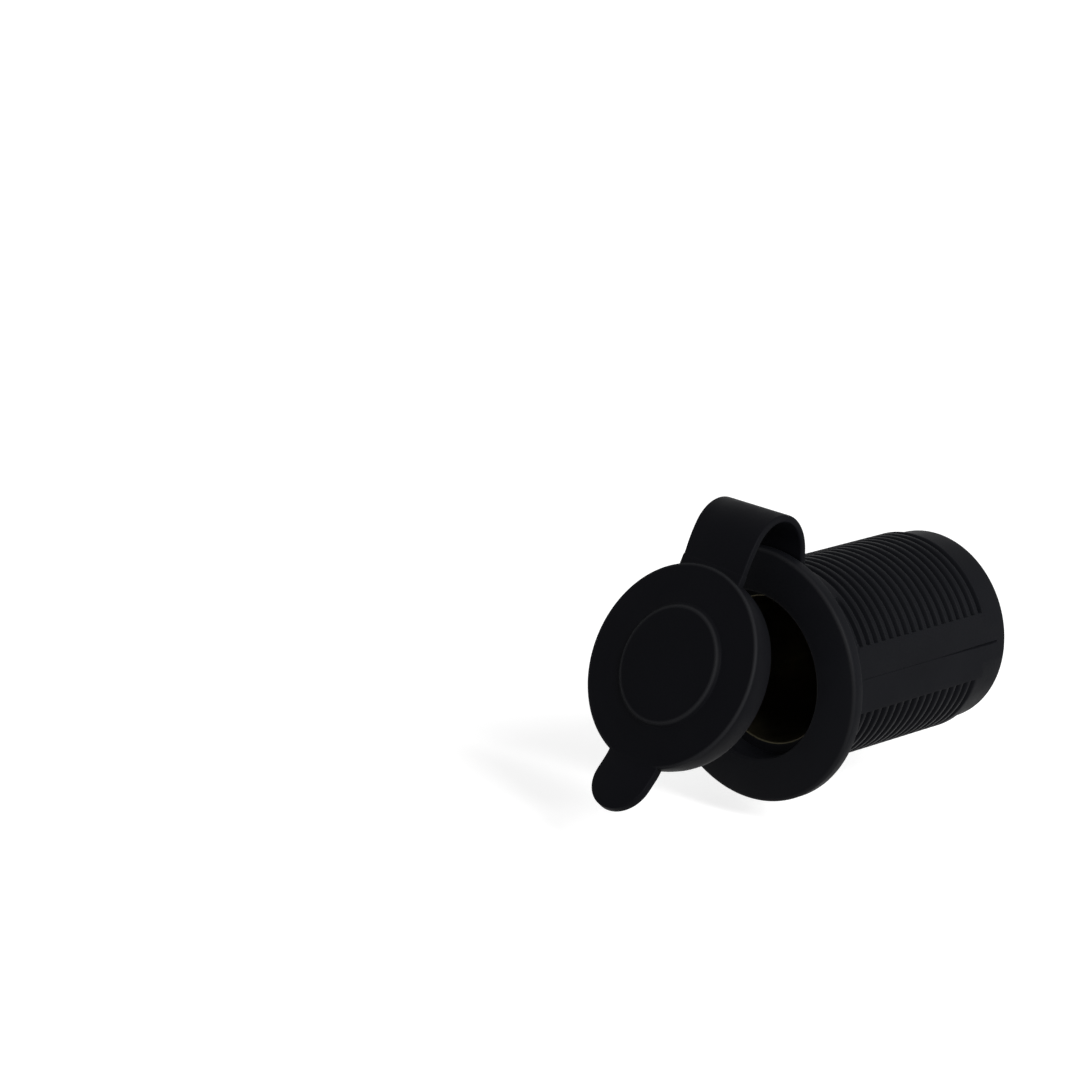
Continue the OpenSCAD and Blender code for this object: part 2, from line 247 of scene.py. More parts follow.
def unite(obj, other, operation="UNION"):
    """Joins another solid to obj, or cuts it away, and deletes it."""
    take(obj)
    joiner = obj.modifiers.new("Join", "BOOLEAN")
    joiner.operation = operation
    joiner.solver = "EXACT"
    joiner.object = other
    bpy.ops.object.modifier_apply(modifier=joiner.name)
    bpy.data.objects.remove(other, do_unlink=True)
    close_solid(obj)


def settle(obj, place=None):
    """Applies the object's place to its mesh, so that the object itself stays at the origin."""
    take(obj)
    if place is not None:
        obj.matrix_world = place
    bpy.ops.object.transform_apply(location=True, rotation=True, scale=True)


def finish_piece(obj, material, body, nodes):
    """Shades, paints and hangs a piece on its body, in place of its nodes."""
    take(obj)
    bpy.ops.object.shade_smooth_by_angle(angle=SMOOTH_ANGLE)
    obj.data.materials.clear()
    obj.data.materials.append(material)
    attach(obj, body)
    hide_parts(*nodes)
    leave_edit()


# ---- materials

# Moulded plastic: its clouds of colour, patches of roughness and sink marks. All cells are
# counted a metre and all depths are in millimetres. The shares are the darkest and lightest cloud.
CLOUD_CELLS = 90
CLOUD_SHARES = (0.8, 1.25)
PATCH_CELLS = 260
SINK_CELLS = 55
SINK_DEPTH = 0.06
PLASTIC_SHEEN = 0.022

# Metal and board
TARNISH_CELLS = 160
SCRATCH_CELLS = 1800
SCRATCH_DEPTH = 0.008
LAYER_CELLS = 900
LAYER_WARP = 3
WEAVE_CELLS = 3000
WEAVE_DEPTH = 0.02

# Round moulded edges get a painted highlight, a paler colour. In millimetres: how far from the
# edge that reaches, and the height over which it fades out. The core is the share of the reach that
# is palest.
HIGHLIGHT_REACH = 0.42
HIGHLIGHT_CORE = 0.3
HIGHLIGHT_FADE = 0.6
HIGHLIGHT_TINT = (1.0, 1.02, 1.14)

# The two finishes. An edge is a (radius, depth) in millimetres and gets a painted highlight, but
# none below the lowest height.
HARD_FINISH = {
    "roughness": (0.42, 0.54),
    "grain cells": 5200,
    "grain depth": 0.012,
    "edges": [(18.32, -3.8)],
    "edge highlight level": 0.0085,
    "lowest edge highlight": -30.0,
}
SOFT_FINISH = {
    "roughness": (0.46, 0.58),
    "grain cells": 4200,
    "grain depth": 0.016,
    "edges": [(8.42, -0.56), (14.65, 0.1)],
    "edge highlight level": 0.0094,
    "lowest edge highlight": -13.4,
}


def new_material(name):
    """An empty node material with a Principled shader, and its node tree."""
    material = bpy.data.materials.new(name)
    material.use_nodes = True
    return material, material.node_tree, material.node_tree.nodes["Principled BSDF"]


def add_node(tree, kind, place, **values):
    """A node at a place in the editor, with its attributes set."""
    node = tree.nodes.new(kind)
    node.location = place
    for key, value in values.items():
        setattr(node, key, value)
    return node


def feed(tree, value, socket):
    """Links a node's output to a socket, or sets the socket to a plain value."""
    if isinstance(value, bpy.types.NodeSocket):
        tree.links.new(value, socket)
    else:
        socket.default_value = value


def calculate(tree, operation, place, first, second=None, vectors=False):
    """The result of a math node on one or two values or vectors."""
    kind = "ShaderNodeVectorMath" if vectors else "ShaderNodeMath"
    node = add_node(tree, kind, place, operation=operation)
    feed(tree, first, node.inputs[0])
    if second is not None:
        feed(tree, second, node.inputs[1])
    return node.outputs["Value"]


def noise(tree, coords, place, scale, detail, roughness=0.55):
    """A noise texture on the object's coordinates. The scale is in cells a metre."""
    node = add_node(tree, "ShaderNodeTexNoise", place)
    node.inputs["Scale"].default_value = scale
    node.inputs["Detail"].default_value = detail
    node.inputs["Roughness"].default_value = roughness
    tree.links.new(coords, node.inputs["Vector"])
    return node.outputs["Fac"]


def spread(tree, value, place, low, high, from_low=0.3, from_high=0.7):
    """Maps a texture's value to a range."""
    node = add_node(tree, "ShaderNodeMapRange", place)
    node.inputs["From Min"].default_value = from_low
    node.inputs["From Max"].default_value = from_high
    node.inputs["To Min"].default_value = low
    node.inputs["To Max"].default_value = high
    tree.links.new(value, node.inputs["Value"])
    return node.outputs["Result"]


def blend_colours(tree, value, place, dark, light):
    """Two colours mixed by a value. Either may be another node's output."""
    node = add_node(tree, "ShaderNodeMix", place, data_type="RGBA")
    sides = [socket for socket in node.inputs if socket.type == "RGBA"]
    for side, colour in zip(sides, (dark, light)):
        feed(tree, colour if isinstance(colour, bpy.types.NodeSocket) else (*colour, 1), side)
    tree.links.new(value, node.inputs["Factor"])
    return next(socket for socket in node.outputs if socket.type == "RGBA")


def bump(tree, height, place, depth, strength, under=None):
    """The normal of a texture's bump, laid over another's. The depth is in millimetres."""
    node = add_node(tree, "ShaderNodeBump", place)
    node.inputs["Distance"].default_value = depth * MM
    node.inputs["Strength"].default_value = strength
    tree.links.new(height, node.inputs["Height"])
    if under is not None:
        tree.links.new(under, node.inputs["Normal"])
    return node.outputs["Normal"]


def edge_highlight_mask(tree, coords, place, edges, lowest):
    """1 on round edges about the Y axis, given as (radius, depth), falling to 0 at the reach.

    It is 0 too below the lowest height, where a tab runs out from the edge.
    """
    # The mask where the edge highlight is painted.
    x, y = place
    parts = add_node(tree, "ShaderNodeSeparateXYZ", (x, y))
    tree.links.new(coords, parts.inputs["Vector"])
    across = add_node(tree, "ShaderNodeCombineXYZ", (x + 170, y))
    tree.links.new(parts.outputs["X"], across.inputs["X"])
    tree.links.new(parts.outputs["Z"], across.inputs["Z"])
    radius = calculate(tree, "LENGTH", (x + 340, y), across.outputs["Vector"], vectors=True)
    spot = add_node(tree, "ShaderNodeCombineXYZ", (x + 510, y))
    tree.links.new(radius, spot.inputs["X"])
    tree.links.new(parts.outputs["Y"], spot.inputs["Y"])
    nearest = None
    for n, (edge_r, edge_y) in enumerate(edges):
        edge = (edge_r * MM, edge_y * MM, 0)
        at = (x + 680, y - 160 * n)
        gap = calculate(tree, "DISTANCE", at, spot.outputs["Vector"], edge, vectors=True)
        if nearest is None:
            nearest = gap
        else:
            nearest = calculate(tree, "MINIMUM", (x + 850, y - 160 * n), nearest, gap)
    reach = (HIGHLIGHT_CORE * HIGHLIGHT_REACH * MM, HIGHLIGHT_REACH * MM)
    near = spread(tree, nearest, (x + 1020, y), 1.0, 0.0, *reach)
    heights = ((lowest - HIGHLIGHT_FADE) * MM, lowest * MM)
    above = spread(tree, parts.outputs["Z"], (x + 1020, y - 300), 0.0, 1.0, *heights)
    return calculate(tree, "MULTIPLY", (x + 1200, y), near, above)


def moulded_plastic(name, colour, finish, turned=None):
    """Satin moulded plastic with fine grain, slow sink marks and painted highlights on round edges.

    The finish is one of the tables above. The edges lie about the Y axis, or about that of the
    place that the piece is turned to.
    """
    material, tree, shader = new_material(name)
    coords = add_node(tree, "ShaderNodeTexCoord", (-1200, 0)).outputs["Object"]
    dark, light = ([c * share for c in colour] for share in CLOUD_SHARES)
    cloud = noise(tree, coords, (-950, 300), CLOUD_CELLS, 2)
    clouded = blend_colours(tree, cloud, (-500, 350), dark, light)
    centred = coords
    if turned is not None:
        centring = add_node(tree, "ShaderNodeMapping", (-2100, 700), vector_type="TEXTURE")
        centring.inputs["Location"].default_value = turned.to_translation()
        centring.inputs["Rotation"].default_value = turned.to_euler("XYZ")
        tree.links.new(coords, centring.inputs["Vector"])
        centred = centring.outputs["Vector"]
    # Painted highlight: the round edges are mixed towards a paler colour.
    highlight_mask = edge_highlight_mask(tree, centred, (-1850, 700), finish["edges"], finish["lowest edge highlight"])
    pale = [finish["edge highlight level"] * share for share in HIGHLIGHT_TINT]
    highlighted_colour = blend_colours(tree, highlight_mask, (-250, 450), clouded, pale)
    tree.links.new(highlighted_colour, shader.inputs["Base Color"])
    patches = noise(tree, coords, (-950, 50), PATCH_CELLS, 4)
    rough = spread(tree, patches, (-500, 100), *finish["roughness"])
    tree.links.new(rough, shader.inputs["Roughness"])
    fine = noise(tree, coords, (-950, -250), finish["grain cells"], 4, 0.65)
    slow = noise(tree, coords, (-950, -500), SINK_CELLS, 1)
    sunk = bump(tree, slow, (-500, -450), SINK_DEPTH, 0.35)
    grain = bump(tree, fine, (-250, -250), finish["grain depth"], 0.5, sunk)
    tree.links.new(grain, shader.inputs["Normal"])
    shader.inputs["Specular IOR Level"].default_value = PLASTIC_SHEEN
    return material


def metal(name, dark, light, roughness, streak):
    """Drawn or plated metal: light tarnish, and fine scratches drawn out by the streak's share."""
    material, tree, shader = new_material(name)
    coords = add_node(tree, "ShaderNodeTexCoord", (-1400, 0)).outputs["Object"]
    stretch = add_node(tree, "ShaderNodeMapping", (-1200, 0))
    stretch.inputs["Scale"].default_value = (1, streak, 1)
    tree.links.new(coords, stretch.inputs["Vector"])
    along = stretch.outputs["Vector"]
    tarnish = noise(tree, coords, (-950, 300), TARNISH_CELLS, 4)
    colour = blend_colours(tree, tarnish, (-500, 350), dark, light)
    tree.links.new(colour, shader.inputs["Base Color"])
    lines = noise(tree, along, (-950, 50), SCRATCH_CELLS, 3)
    rough = spread(tree, lines, (-500, 100), *roughness)
    tree.links.new(rough, shader.inputs["Roughness"])
    scratched = bump(tree, lines, (-250, -250), SCRATCH_DEPTH, 0.4)
    tree.links.new(scratched, shader.inputs["Normal"])
    shader.inputs["Metallic"].default_value = 1.0
    return material


def pressed_board(name, dark, light):
    """Pressed insulating board: layered brown sheet with a fine weave."""
    material, tree, shader = new_material(name)
    coords = add_node(tree, "ShaderNodeTexCoord", (-1200, 0)).outputs["Object"]
    layers = add_node(tree, "ShaderNodeTexWave", (-950, 300), bands_direction="Y")
    layers.inputs["Scale"].default_value = LAYER_CELLS
    layers.inputs["Distortion"].default_value = LAYER_WARP
    tree.links.new(coords, layers.inputs["Vector"])
    colour = blend_colours(tree, layers.outputs["Fac"], (-500, 350), dark, light)
    tree.links.new(colour, shader.inputs["Base Color"])
    weave = noise(tree, coords, (-950, -100), WEAVE_CELLS, 4)
    rough = spread(tree, weave, (-500, 0), 0.5, 0.7)
    tree.links.new(rough, shader.inputs["Roughness"])
    woven = bump(tree, weave, (-250, -250), WEAVE_DEPTH, 0.5)
    tree.links.new(woven, shader.inputs["Normal"])
    return material


# ---- the housing

# The mould line: its ends, and where along the barrel it starts to open and how long that takes.
# Half its width in degrees and its depth each have a start and a gain.
LINE_ENDS = (3, 34.1)
LINE_OPENS = 20
LINE_OPENING = 12
LINE_WIDTH, LINE_WIDENS = 0.3, 0.5
LINE_DEPTH, LINE_DEEPENS = 0.06, 0.3

# The first groove ends at this angle. The grooves crowd together within these lengths of the
# neck and the tail instead of crossing them.
FIRST_ENDS = 52
CROWD_FRONT = 0.25
CROWD_REAR = 0.35


def groove_rows():
    """Rows of (depth along the axis, depth of cut, groove number) across all grooves."""
    rows = []
    for k in range(GROOVES):
        centre = THREAD_START + k * PITCH
        rows += [(centre - off, cut, k) for off, cut in GROOVE_HALF]
        rows += [(centre + off, cut, k) for off, cut in reversed(GROOVE_HALF)]
    return rows


def housing_outline():
    """Outline of the housing as (radius, depth), from the shell's seat round to the rear recess."""
    inside = [(0, WALL_Y), (CUP_CORNER[0], WALL_Y)]
    inside += arc(CUP_CORNER, CUP_CORNER_R + 0.05, 78, 0, 5)
    inside += [(SHELL_R + 0.05, 15.0), (SHELL_R + 0.05, SEAT_Y + 0.03), (10.8, SEAT_Y + 0.03)]
    inside += [(10.78, SEAT_Y), (MOUTH_R, SEAT_Y), (MOUTH_R, -2.2)]
    mouth = arc((MOUTH_R + 0.5, FACE_Y + 0.5), 0.5, 180, 270, 6)
    dome = [(14.0, FACE_Y + 0.1), (15.5, FACE_Y + 0.26), (16.8, FACE_Y + 0.48)]
    rim = arc((FLANGE_R - 0.5, RIM_Y + 0.5), 0.5, -80, 0, 6)
    back = [(FLANGE_R, -2.25), (18.43, -2.07), (18.25, FLANGE_BACK_Y), (SEAT_R, FLANGE_BACK_Y)]
    neck = [(SEAT_R, SHOULDER_Y), (NECK_R - 0.1, SHOULDER_Y), (NECK_R, 0.1), (NECK_R, 1.2)]
    neck += [(NECK_R, 2.36), (NECK_R - 0.07, 2.46)]
    barrel = [(CREST_R, NECK_END_Y)]
    barrel += [(CREST_R - cut, y) for y, cut, k in groove_rows()]
    barrel += [(CREST_R, THREAD_REAR)]
    tail = [(TAIL_R, y) for y in (TAIL_Y, 32.0, 33.0, 33.9, 34.2)]
    rear = arc((TAIL_R - 1.1, REAR_Y - 1.1), 1.1, 0, 90, 8)
    recess = [(12.1, REAR_Y), (RECESS_R, REAR_Y - 0.2)]
    recess += [(RECESS_R, RECESS_Y + 0.15), (11.75, RECESS_Y), (0, RECESS_Y)]
    return inside + mouth + dome + rim + back + neck + barrel + tail + rear + recess


def parting_line(y):
    """Half width in degrees, and depth, of the mould line along the middle of each bar."""
    rear = min(1.0, max(0.0, (y - LINE_OPENS) / LINE_OPENING))
    width = LINE_WIDTH + LINE_WIDENS * rear
    inside = LINE_ENDS[0] <= y <= LINE_ENDS[1]
    return width, LINE_DEPTH + LINE_DEEPENS * rear if inside else 0.0


def column_angle(angle, radius, level, grooved, line):
    """Where a column of the barrel goes, so that columns run along the edges of the flat bars.

    The angle is from the nearest bar's middle, in degrees from 0 to 90.
    """
    edge = max(math.degrees(math.acos(min(1, BAR_X / level))), 3)
    past = edge + 0.5
    end = past + 0.7
    if grooved:
        end = max(math.degrees(math.asin(GROOVE_END / radius)), past + 0.3)
    marks = [(0, 0), (LINE_COLUMN, line), (EDGE_COLUMN, edge), (PAST_COLUMN, past)]
    marks += [(END_COLUMN, end), (90, 90)]
    for (a0, b0), (a1, b1) in zip(marks, marks[1:]):
        if angle <= a1 + 1e-6:
            return b0 + (b1 - b0) * (angle - a0) / (a1 - a0)
    return angle


def thread_slide(angle):
    """How far a groove lies behind its place on the top line, at an angle from +X towards +Z."""
    if abs(angle) <= HELIX_END:
        return -PITCH * (angle - 90) / 360
    past = angle - HELIX_END if angle > 0 else angle + 360 - HELIX_END
    way = past / (360 - 2 * HELIX_END)
    top = -PITCH * (HELIX_END - 90) / 360
    return top + way * (-PITCH * (-HELIX_END - 90) / 360 - top)


def shape_barrel(obj):
    """Slides the grooves onto the helix, and presses the two plain bars flat."""
    cuts = {round(y, 3): k for y, cut, k in groove_rows()}
    front = NECK_END_Y - 0.01
    for vertex in obj.data.vertices:
        x, y, z = (c / MM for c in vertex.co)
        radius = math.hypot(x, z)
        seat = y < 0.01 and radius < SEAT_R + 0.01
        if radius < BORE_WALL_R or y < -0.001 or seat:
            continue
        angle = math.degrees(math.atan2(z, x))
        away = abs(angle) if abs(angle) <= 90 else 180 - abs(angle)
        groove = cuts.get(round(y, 3))
        grooved = groove is not None
        lost = (groove == 0 and angle > FIRST_ENDS) or (groove == GROOVES - 1 and angle < 0)
        if grooved and (away < PAST_COLUMN + 1 or lost):
            radius = CREST_R
        level = radius
        if y < front:
            level = NECK_R
        elif front < y < THREAD_REAR + 0.05:
            level = CREST_R
        line, depth = parting_line(y) if y > front else (LINE_COLUMN, 0.0)
        turned = column_angle(away, radius, level, grooved, line)
        spot = math.copysign(turned if abs(angle) <= 90 else 180 - turned, angle)
        x, z = radius * math.cos(math.radians(spot)), radius * math.sin(math.radians(spot))
        if away < EDGE_COLUMN + 0.1:
            pressed = depth if away < LINE_COLUMN / 2 else 0
            x = math.copysign(min(abs(x), BAR_X) - pressed, x)
        if grooved:
            y += thread_slide(spot)
            first, last = NECK_END_Y + CROWD_FRONT, THREAD_REAR - CROWD_REAR
            if y < first:
                y = NECK_END_Y + CROWD_FRONT * math.exp((y - first) / CROWD_FRONT)
            if y > last:
                y = THREAD_REAR - CROWD_REAR * math.exp(-(y - last) / CROWD_REAR)
        vertex.co = Vector((x, y, z)) * MM


class SocketHousing(bpy.types.Operator):
    """Turns the housing and cuts its threaded barrel with two plain bars"""

    bl_idname = "power_socket.housing"
    bl_label = "Housing"

    def execute(self, context):
        sizes = context.scene.power_socket
        obj = turn_on_axis("housing_moulding", housing_outline(), steps=COLUMNS)
        shape_barrel(obj)
        close_solid(obj)
        plastic = moulded_plastic("Housing plastic", sizes.housing_colour, HARD_FINISH)
        finish_piece(obj, plastic, "socket", ["housing"])
        return {"FINISHED"}


# ---- metal and board inside

# The bush, the rivets' shanks, and each rivet's head radius, head height and dome radius
BUSH_R = 3.7
BUSH_NECK_R = 2.9
BUSH_HOLE_R = 1.55
SHANK_R = 1.5
CENTRE_HEAD = (2.9, 1.1, 0.5)
GROUND_HEAD = (1.9, 0.7, 0.3)
GROUND_Z = -6.0

# The push-on blades. Depths run from the rear recess, and the foot's end from the rivet's middle.
BLADE_W = 6.3
BLADE_T = 0.8
BLADE_LEN = 8.8
BLADE_OUT = 3.6
BLADE_FOOT = -2.0
BLADE_TIP_W = 3.9
FOLD_R = 1.2
CATCH_R = 0.9
CATCH_Y = 5.2

# Darkest and lightest colour of each metal and of the board
# The brass is painted very dark: painted shade of the deep bore, where little light gets in.
BRASS_SHADED_COLOURS = ((0.042, 0.038, 0.024), (0.085, 0.076, 0.049))
PLATED_COLOURS = ((0.62, 0.52, 0.30), (0.82, 0.74, 0.52))
TIN_COLOURS = ((0.48, 0.48, 0.47), (0.72, 0.72, 0.70))
BOARD_COLOURS = ((0.11, 0.045, 0.016), (0.26, 0.12, 0.05))


class SocketContacts(bpy.types.Operator):
    """Draws the brass cup, its insulating bush, the two rivets and the push-on blades"""

    bl_idname = "power_socket.contacts"
    bl_label = "Contacts"

    def execute(self, context):
        # The brass colours hold painted shade for the bore.
        brass = metal("Drawn brass", *BRASS_SHADED_COLOURS, (0.36, 0.52), 0.08)
        plated = metal("Plated contact", *PLATED_COLOURS, (0.18, 0.34), 1.0)
        tin = metal("Tin plate", *TIN_COLOURS, (0.28, 0.46), 0.1)
        board = pressed_board("Pressed board", *BOARD_COLOURS)
        self.cup(brass)
        self.bush(board)
        head = self.rivet("centre_contact_head", 0.0, BUSH_Y, CENTRE_HEAD)
        finish_piece(head, plated, "socket", ["centre_contact"])
        head = self.rivet("ground_rivet_head", GROUND_Z, SHELL_FLOOR_Y, GROUND_HEAD)
        finish_piece(head, tin, "socket", ["ground_rivet"])
        tab = self.blade("positive_tab", 0.0, 1)
        finish_piece(tab, tin, "socket", ["positive_blade"])
        tab = self.blade("negative_tab", GROUND_Z, -1)
        finish_piece(tab, tin, "socket", ["negative_blade"])
        return {"FINISHED"}

    def cup(self, brass):
        """Drawn cup whose rounded lip stands level with the housing's shoulder."""
        outline = [(BORE_R, 0.2)]
        outline += arc((BORE_R + 0.25, SHELL_Y + 0.25), 0.25, 180, 360, 8)
        outline += [(SHELL_R, 0.2), (SHELL_R, 14.0)]
        outline += arc(CUP_CORNER, CUP_CORNER_R, 0, 90, 8)
        outline += [(CUP_HOLE_R, WALL_Y), (CUP_HOLE_R, SHELL_FLOOR_Y)]
        outline += arc(CUP_CORNER, CUP_CORNER_R - 0.5, 90, 0, 8)
        outline += [(BORE_R, 14.0), (BORE_R, 0.2)]
        obj = turn_on_axis("contact_cup", outline, steps=128)
        finish_piece(obj, brass, "socket", ["contact_shell"])

    def bush(self, board):
        """Insulating bush with rounded edges."""
        start = (BUSH_HOLE_R, BUSH_Y + 0.15)
        outline = [start, (BUSH_HOLE_R + 0.15, BUSH_Y)]
        outline += arc((BUSH_R - 0.2, BUSH_Y + 0.2), 0.2, -90, 0, 3)
        outline += [(BUSH_R, SHELL_FLOOR_Y), (BUSH_NECK_R, SHELL_FLOOR_Y)]
        outline += [(BUSH_NECK_R, RECESS_Y), (BUSH_HOLE_R, RECESS_Y), start]
        obj = turn_on_axis("insulating_bush", outline, steps=64)
        finish_piece(obj, board, "socket", ["contact_bush"])

    def rivet(self, name, z, head_y, head):
        """Rivet with a domed head inside the cup and a closed end on a blade's foot."""
        head_r, head_h, dome = head
        foot = RECESS_Y + BLADE_T
        outline = [(0, head_y - head_h)]
        outline += [(head_r * 0.55, head_y - head_h + 0.02)]
        outline += arc((head_r - dome, head_y - head_h + dome), dome, -78, 0, 5)
        outline += [(head_r, head_y), (SHANK_R, head_y), (SHANK_R, foot), (SHANK_R + 0.4, foot)]
        outline += arc((SHANK_R + 0.1, foot + 0.35), 0.32, 0, 90, 4)
        outline += [(0.9, foot + 0.66), (0.6, foot + 0.5), (0, foot + 0.45)]
        obj = turn_on_axis(name, outline, steps=48)
        take(obj)
        obj.location = (0, 0, z * MM)
        settle(obj)
        return obj

    def blade(self, name, z, side):
        """Folded push-on blade: foot, rounded fold, tab with a pointed end and a catch hole."""
        fold = (RECESS_Y + FOLD_R, BLADE_OUT - FOLD_R)
        tip = RECESS_Y + BLADE_LEN
        inner = arc(fold, FOLD_R - BLADE_T, 180, 90, 4)
        outer = arc(fold, FOLD_R, 90, 180, 6)
        points = [(RECESS_Y, BLADE_FOOT), (RECESS_Y + BLADE_T, BLADE_FOOT)] + inner
        points += [(tip, BLADE_OUT - BLADE_T), (tip, BLADE_OUT)] + outer
        obj = plate(name, [(-BLADE_W / 2, y, p) for y, p in points], (BLADE_W, 0, 0))
        take(obj)
        bpy.ops.object.mode_set(mode="EDIT")
        for way in (-1, 1):
            bpy.ops.mesh.select_all(action="SELECT")
            bpy.ops.mesh.bisect(
                plane_co=Vector((way * BLADE_TIP_W / 2, tip, 0)) * MM,
                plane_no=(way * 1.6, 1.2, 0),
                use_fill=True,
                clear_outer=True,
            )
        close_surface()
        leave_edit()
        bpy.ops.mesh.primitive_cylinder_add(
            vertices=32,
            radius=CATCH_R * MM,
            depth=4 * MM,
            location=(0, (RECESS_Y + CATCH_Y) * MM, (BLADE_OUT - BLADE_T / 2) * MM),
        )
        unite(obj, bpy.context.active_object, "DIFFERENCE")
        soften(obj, 0.08, 1, 40)
        place = Matrix.Translation((0, 0, z * MM)) @ Matrix.Diagonal((1, 1, side, 1))
        settle(obj, place)
        close_solid(obj)
        return obj


# ---- the soft moulding: ring, strap and lid


def soft_plastic(colour):
    """The duller black of the ring, the strap and the lid, made once for all three."""
    made = bpy.data.materials.get("Soft plastic")
    return made or moulded_plastic("Soft plastic", colour, SOFT_FINISH, LID_PLACE)


# The strap: its section, its bend over the flange, and its root on the lid's rim
STRAP_W = 11.6
STRAP_T = 1.1
STRAP_ROUND = 0.32
BEND_AT = (-6.9, 18.2)
BEND_R = 6.35
FOOT_LEN = 1.8
ROOT_DEPTH = 1.0
ROOT_OUT = 15.7
ROOT_LEN = 1.8
STRAP_TWIST = math.radians(1.8)
ROLL_DELAY = 1.25

# The ring behind the flange, turned a little, and the block that joins the strap's foot to it
RING_TURN = math.radians(1.6)
RING_R = 16.4
RING_HOLE_R = 14.5
FOOT_Z = 16.2
FOOT_BLOCK = (1.98, 1.6)


def strap_stations(count=48):
    """Sections of the strap from the ring's foot to the lid's rim.

    Each is a middle point, a width direction and an outward direction, in millimetres. The strap
    stands turned with the ring at its foot, leans a little halfway along, and has the lid's roll
    at its end.
    """
    inward = Vector((math.cos(LID_TILT), -math.sin(LID_TILT)))
    upward = Vector((math.sin(LID_TILT), math.cos(LID_TILT)))
    root = Vector(LID_AT[1:]) + inward * ROOT_DEPTH + upward * ROOT_OUT
    first = Vector(BEND_AT)
    gap = root - first
    wide_r = (gap.dot(gap) - BEND_R * BEND_R) / 2 / (-gap.dot(inward) - BEND_R)
    wide = root + inward * wide_r
    join = math.atan2(first.y - wide.y, first.x - wide.x)
    end = math.pi - LID_TILT
    bends = join * BEND_R + (end - join) * wide_r
    axis = Vector((0, inward.x, inward.y))
    centre = Vector(LID_AT)
    out = []
    for n in range(count + 1):
        s = (FOOT_LEN + bends + ROOT_LEN) * n / count - FOOT_LEN
        share = min(1.0, max(0.0, s / bends))
        if s < join * BEND_R:
            a, c, r = max(0.0, s / BEND_R), first, BEND_R
        else:
            a, c, r = min(join + (s - join * BEND_R) / wide_r, end), wide, wide_r
        normal = Vector((0, math.cos(a), math.sin(a)))
        spot = Vector((0, c.x, c.y)) + normal * r
        spot += Vector((0, 0, min(0.0, s)))
        spot -= Vector((0, upward.x, upward.y)) * max(0.0, s - bends)
        late = share ** ROLL_DELAY
        lean = STRAP_TWIST * math.sin(math.pi * share)
        side = Vector((math.cos(lean), 0, 0)) - normal * math.sin(lean)
        normal = Vector((math.sin(lean), 0, 0)) + normal * math.cos(lean)
        back = Matrix.Rotation(RING_TURN * (1 - late), 3, "Y")
        roll = Matrix.Rotation(LID_ROLL * late, 3, axis)
        middle = centre + roll @ (back @ spot - centre)
        out.append((middle, roll @ back @ side, roll @ back @ normal))
    return out


class SocketStrap(bpy.types.Operator):
    """Moulds the strap straight, rounds its edges and bends it from the ring to the lid"""

    bl_idname = "power_socket.strap"
    bl_label = "Strap"

    def execute(self, context):
        sizes = context.scene.power_socket
        stations = strap_stations()
        count = len(stations) - 1
        leave_edit()
        bpy.ops.mesh.primitive_cube_add(size=MM, location=(0, 0, 0.5 * MM))
        obj = bpy.context.active_object
        obj.name = "strap_band"
        obj.data.name = "strap_band"
        obj.scale = (STRAP_W, STRAP_T, 1)
        bpy.ops.object.transform_apply(location=True, rotation=True, scale=True)
        bpy.ops.object.mode_set(mode="EDIT")
        pick(obj, "edges", lambda edge: abs(edge.verts[0].co.z - edge.verts[1].co.z) > 0.5 * MM)
        bpy.ops.mesh.bevel(offset=STRAP_ROUND * MM, segments=4, profile=0.5, affect="EDGES")
        for n in range(1, count):
            pick(obj, "faces", lambda face: all(v.co.z > (n - 0.01) * MM for v in face.verts))
            bpy.ops.mesh.extrude_region_move(TRANSFORM_OT_translate={"value": (0, 0, MM)})
        bpy.ops.object.mode_set(mode="OBJECT")
        self.bend(obj, stations)
        close_solid(obj)
        bpy.ops.object.shade_smooth_by_angle(angle=STRAP_SMOOTH_ANGLE)
        obj.data.materials.append(soft_plastic(sizes.lid_colour))
        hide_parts("lid_strap")
        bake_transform(obj)
        leave_edit()
        return {"FINISHED"}

    def bend(self, obj, stations):
        """Lays the straight band along its path."""
        for vertex in obj.data.vertices:
            x, t, s = (c / MM for c in vertex.co)
            middle, side, outward = stations[min(len(stations) - 1, max(0, round(s)))]
            vertex.co = (middle + side * x + outward * t) * MM


class SocketRing(bpy.types.Operator):
    """Turns the ring behind the flange and joins the strap's foot to it"""

    bl_idname = "power_socket.ring"
    bl_label = "Ring"

    def execute(self, context):
        sizes = context.scene.power_socket
        start = (RING_HOLE_R, -1.0)
        outline = [start, (RING_HOLE_R, -1.85), (RING_HOLE_R + 0.15, -2.0), (RING_R - 0.2, -2.0)]
        outline += [(RING_R - 0.06, -1.94), (RING_R, -1.8), (RING_R, -0.25)]
        outline += [(RING_R - 0.08, -0.08), (RING_R - 0.25, 0.0)]
        outline += [(RING_HOLE_R + 0.4, 0.0), (RING_HOLE_R, -0.4), start]
        ring = turn_on_axis("retaining_ring_moulding", outline, steps=128)
        leave_edit()
        bpy.ops.mesh.primitive_cube_add(size=MM, location=(0, -1.0 * MM, FOOT_Z * MM))
        foot = bpy.context.active_object
        foot.scale = (STRAP_W, *FOOT_BLOCK)
        bpy.ops.object.transform_apply(location=True, rotation=True, scale=True)
        soften(foot, 0.25, 3)
        settle(foot, Matrix.Rotation(RING_TURN, 4, "Y"))
        unite(ring, foot)
        plastic = soft_plastic(sizes.lid_colour)
        finish_piece(ring, plastic, "socket", ["retaining_ring"])
        return {"FINISHED"}


# The lid's radius and the radius of its front edge
LID_R = 14.75
LID_ROUND = 0.38

